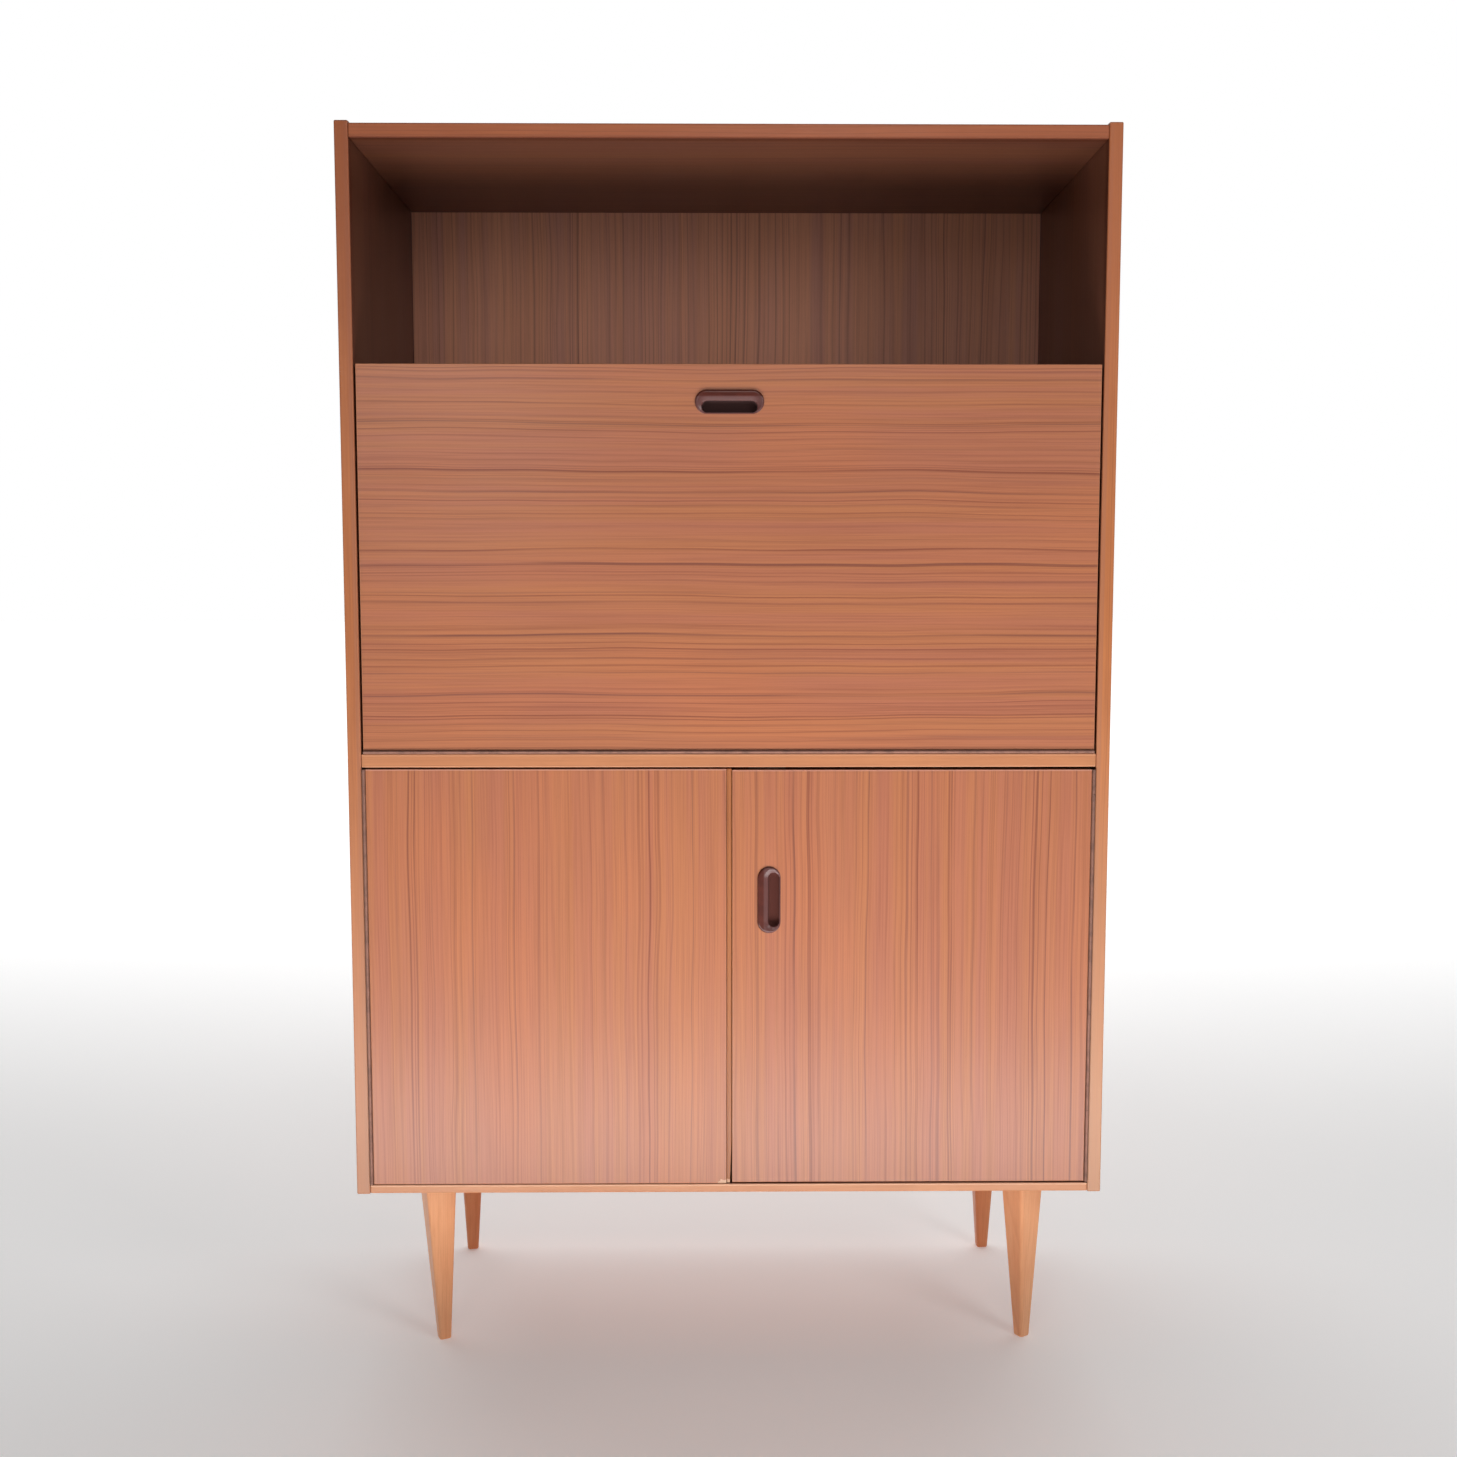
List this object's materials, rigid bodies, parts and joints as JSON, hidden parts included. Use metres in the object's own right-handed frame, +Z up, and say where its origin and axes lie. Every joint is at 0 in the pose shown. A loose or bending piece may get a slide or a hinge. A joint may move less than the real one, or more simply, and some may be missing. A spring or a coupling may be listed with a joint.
{
  "type": "secretary desk",
  "caption": "Tall secretary desk with an open niche, a drop-front writing flap on sliding-rod stays and a two-door cupboard, on tapered legs.",
  "frame": {"origin": "on the floor under the middle of the cabinet", "axes": "+Z up, +X to the right as seen from the front, the front faces -Y"},
  "size_m": [0.9, 0.4024, 1.47],
  "materials": {
    "case_laminate": "satin teak-pattern laminate",
    "back_laminate": "satin teak-pattern laminate on hardboard, vertical grain",
    "flap_laminate": "satin teak-pattern laminate, horizontal grain",
    "door_laminate": "satin teak-pattern laminate, vertical grain",
    "lipping": "varnished solid wood, orange brown",
    "cleat": "plain beech, matt",
    "leg_wood": "varnished beech, honey orange",
    "pull": "glossy dark red-brown",
    "hinge_steel": "dull plated piano hinge",
    "fitting_steel": "zinc plated",
    "stay_chrome": "bright plated rod",
    "catch_plastic": "cream plastic"
  },
  "bodies": {
    "carcass": {"left_side_panel": "case_laminate", "right_side_panel": "case_laminate", "top_panel": "case_laminate", "niche_floor": "case_laminate", "desk_floor": "case_laminate", "bottom_panel": "case_laminate", "cupboard_shelf": "case_laminate", "desk_shelf": "case_laminate", "back_panel": "back_laminate", "left_side_lipping": "lipping", "right_side_lipping": "lipping", "top_lipping": "lipping", "desk_floor_lipping": "lipping", "bottom_lipping": "lipping", "left_cupboard_shelf_cleat": "cleat", "right_cupboard_shelf_cleat": "cleat", "left_desk_shelf_cleat": "cleat", "right_desk_shelf_cleat": "cleat", "flap_hinge_fixed_leaf": "hinge_steel", "flap_hinge_pin": "hinge_steel", "left_door_hinge_fixed_leaf": "hinge_steel", "left_door_hinge_pin": "hinge_steel", "right_door_hinge_fixed_leaf": "hinge_steel", "right_door_hinge_pin": "hinge_steel", "left_stay_plate": "fitting_steel", "left_door_catch": "catch_plastic", "right_stay_plate": "fitting_steel", "right_door_catch": "catch_plastic", "flap_catch": "catch_plastic", "front_left_leg": "leg_wood", "front_left_leg_plate": "fitting_steel", "front_left_leg_stud": "fitting_steel", "front_right_leg": "leg_wood", "front_right_leg_plate": "fitting_steel", "front_right_leg_stud": "fitting_steel", "back_left_leg": "leg_wood", "back_left_leg_plate": "fitting_steel", "back_left_leg_stud": "fitting_steel", "back_right_leg": "leg_wood", "back_right_leg_plate": "fitting_steel", "back_right_leg_stud": "fitting_steel"},
    "flap": {"flap_panel": "flap_laminate", "flap_pull": "pull", "flap_strike": "fitting_steel", "flap_hinge_moving_leaf": "hinge_steel", "left_stay_bracket": "fitting_steel", "right_stay_bracket": "fitting_steel"},
    "left_door": {"left_door_panel": "door_laminate", "left_door_strike": "fitting_steel", "left_door_hinge_moving_leaf": "hinge_steel", "meeting_strip": "lipping"},
    "right_door": {"right_door_panel": "door_laminate", "right_door_strike": "fitting_steel", "right_door_hinge_moving_leaf": "hinge_steel", "right_door_pull": "pull"},
    "left_rod": {"left_stay_rod": "stay_chrome"},
    "right_rod": {"right_stay_rod": "stay_chrome"},
    "left_guide": {"left_stay_guide": "fitting_steel"},
    "right_guide": {"right_stay_guide": "fitting_steel"}
  },
  "joints": [
    {"name": "flap_hinge", "type": "hinge", "parent": "carcass", "child": "flap", "pos_m": [0, -0.2003, 0.7473], "axis": [1, 0, 0], "range_deg": [0, 90]},
    {"name": "left_door_hinge", "type": "hinge", "parent": "carcass", "child": "left_door", "pos_m": [-0.4317, -0.2003, 0.4756], "axis": [0, 0, -1], "range_deg": [0, 170]},
    {"name": "right_door_hinge", "type": "hinge", "parent": "carcass", "child": "right_door", "pos_m": [0.4317, -0.2003, 0.47595], "axis": [0, 0, 1], "range_deg": [0, 170]},
    {"name": "left_rod_pivot", "type": "hinge", "parent": "flap", "child": "left_rod", "pos_m": [-0.4165, -0.17618, 0.92568], "axis": [-1, 0, 0], "range_deg": [0, 45.5]},
    {"name": "left_guide_swivel", "type": "hinge", "parent": "carcass", "child": "left_guide", "pos_m": [-0.4165, -0.11663, 0.90667], "axis": [1, 0, 0], "range_deg": [0, 45.5]},
    {"name": "right_rod_pivot", "type": "hinge", "parent": "flap", "child": "right_rod", "pos_m": [0.4165, -0.17618, 0.92568], "axis": [-1, 0, 0], "range_deg": [0, 45.5]},
    {"name": "right_guide_swivel", "type": "hinge", "parent": "carcass", "child": "right_guide", "pos_m": [0.4165, -0.11663, 0.90667], "axis": [1, 0, 0], "range_deg": [0, 45.5]}
  ],
  "couplings": [
    {"joint": "left_rod_pivot", "follows": "flap_hinge", "ratio": 0.5},
    {"joint": "left_guide_swivel", "follows": "flap_hinge", "ratio": 0.5},
    {"joint": "right_rod_pivot", "follows": "flap_hinge", "ratio": 0.5},
    {"joint": "right_guide_swivel", "follows": "flap_hinge", "ratio": 0.5}
  ]
}
